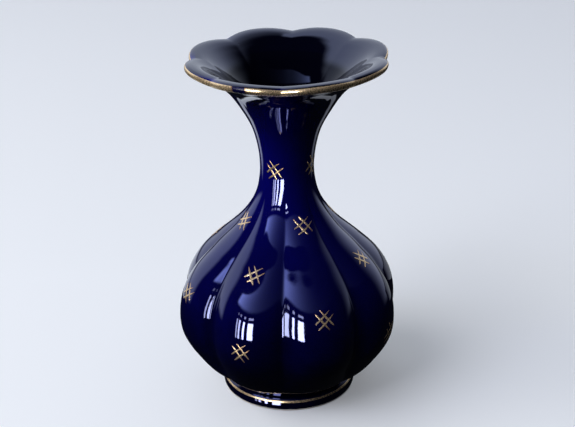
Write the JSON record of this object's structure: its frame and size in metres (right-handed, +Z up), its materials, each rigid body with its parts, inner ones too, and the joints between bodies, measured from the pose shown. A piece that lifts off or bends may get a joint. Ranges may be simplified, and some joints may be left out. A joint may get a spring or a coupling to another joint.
{
  "type": "porcelain vase",
  "caption": "Vase with a ribbed melon belly on a turned foot, a slender neck and a scalloped flared mouth, glazed dark blue with gilded edges and small crossed-stroke marks.",
  "frame": {"origin": "centre of the standing ring, on the plane that the vase stands on", "axes": "+Z up along the axis of the vase, towards the mouth; one groove of the belly faces -Y"},
  "size_m": [0.1222, 0.1222, 0.2],
  "materials": {
    "blue_glaze": "deep cobalt glaze over white porcelain, almost black where thick, very glossy",
    "gold": "thin burnished gold laid on the glaze by brush, slightly worn",
    "bare_porcelain": "unglazed fired porcelain, matt and slightly rough"
  },
  "bodies": {
    "root": {"foot_bare_edge": "bare_porcelain", "foot_ring": "blue_glaze", "foot_gilding": "gold", "belly_bowl": "blue_glaze", "shoulder": "blue_glaze", "neck": "blue_glaze", "mouth": "blue_glaze", "rim_gilding": "gold", "gilt_mark_01": "gold", "gilt_mark_02": "gold", "gilt_mark_03": "gold", "gilt_mark_04": "gold", "gilt_mark_05": "gold", "gilt_mark_06": "gold", "gilt_mark_07": "gold", "gilt_mark_08": "gold", "gilt_mark_09": "gold", "gilt_mark_10": "gold", "gilt_mark_11": "gold", "gilt_mark_12": "gold", "gilt_mark_13": "gold", "gilt_mark_14": "gold", "gilt_mark_15": "gold", "gilt_mark_16": "gold", "gilt_mark_17": "gold", "gilt_mark_18": "gold", "gilt_mark_19": "gold", "gilt_mark_20": "gold"}
  },
  "joints": []
}
